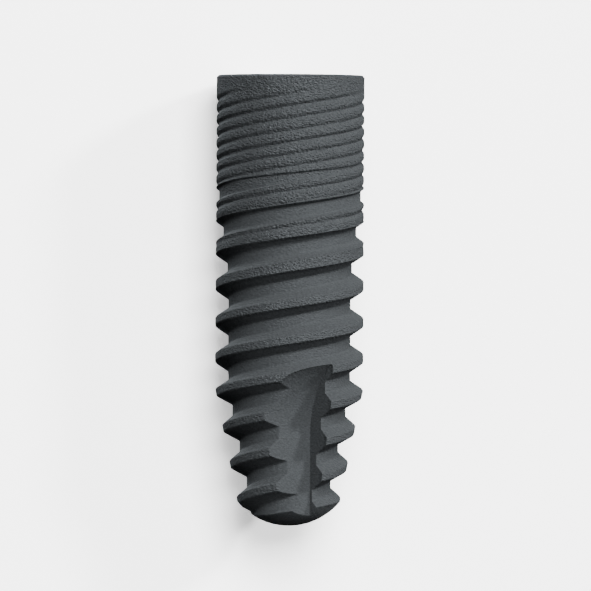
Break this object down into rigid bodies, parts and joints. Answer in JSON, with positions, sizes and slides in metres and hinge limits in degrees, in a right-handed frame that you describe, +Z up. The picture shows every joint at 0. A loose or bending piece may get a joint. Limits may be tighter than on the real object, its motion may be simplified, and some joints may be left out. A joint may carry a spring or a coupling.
{
  "type": "dental implant",
  "caption": "Tapered screw-type implant for a tooth root, with a finely grooved neck, a coarse helical thread, cutting flutes at a domed tip, and a hexagon socket above a threaded hole.",
  "frame": {"origin": "under the middle of the length, on the surface that the implant lies on", "axes": "+Y along the axis towards the platform, -Y towards the apex, +Z up"},
  "size_m": [0.0042, 0.013, 0.0043],
  "materials": {
    "blasted_titanium": "titanium, grit-blasted and acid-etched, matt dark grey"
  },
  "bodies": {
    "root": {"implant_body": "blasted_titanium"}
  },
  "joints": []
}
